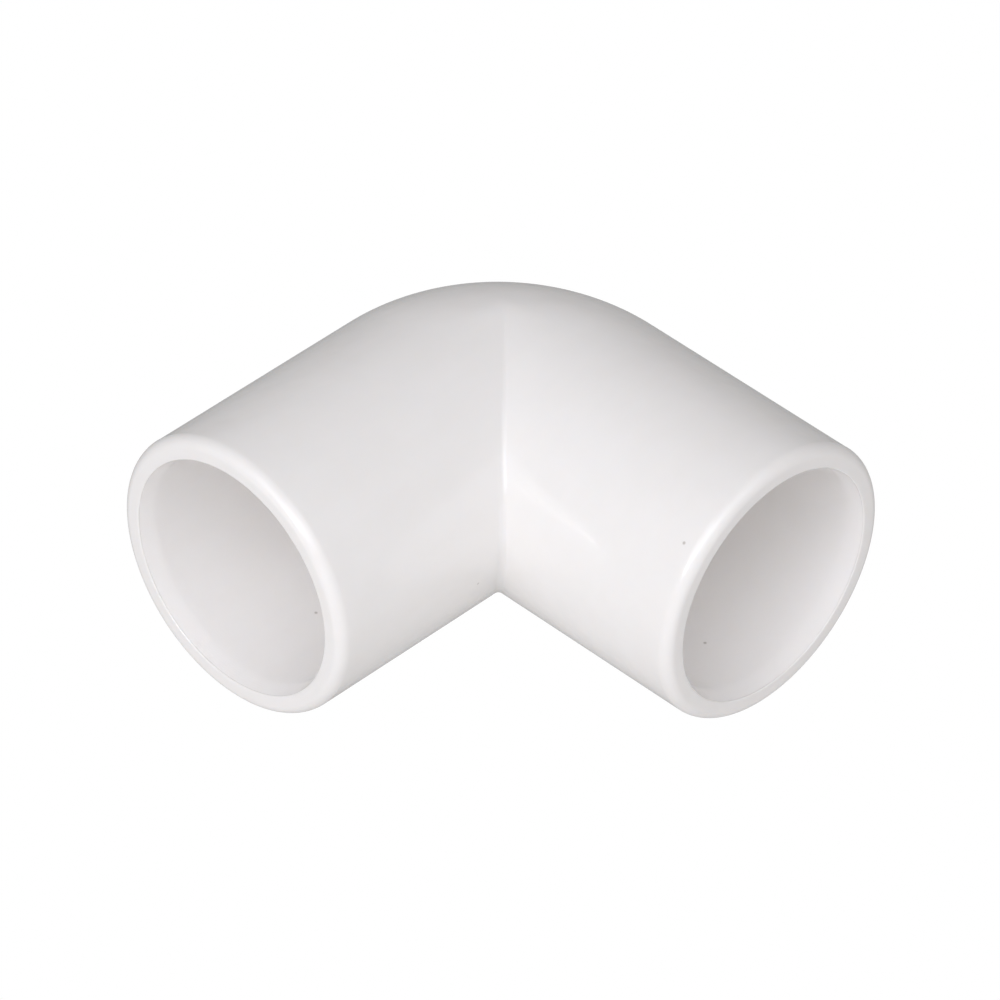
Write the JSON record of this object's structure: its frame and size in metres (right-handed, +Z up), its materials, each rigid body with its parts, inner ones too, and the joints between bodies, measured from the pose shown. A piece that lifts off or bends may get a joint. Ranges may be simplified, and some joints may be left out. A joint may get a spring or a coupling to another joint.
{
  "type": "pvc elbow fitting",
  "caption": "White moulded PVC right-angle pipe elbow with a plain slip socket at each end, a rounded heel and a sharp mitred inner corner.",
  "frame": {"origin": "middle of the bounding box in X and Y, at the height of the surface that the elbow lies on", "axes": "+X out of one socket and +Y out of the other, along the socket axes; +Z up, square to the plane of both socket axes"},
  "size_m": [0.0564, 0.0564, 0.0326],
  "materials": {
    "white_pvc": "smooth injection-moulded white PVC, satin to semi-gloss"
  },
  "bodies": {
    "root": {"elbow_body": "white_pvc"}
  },
  "joints": []
}
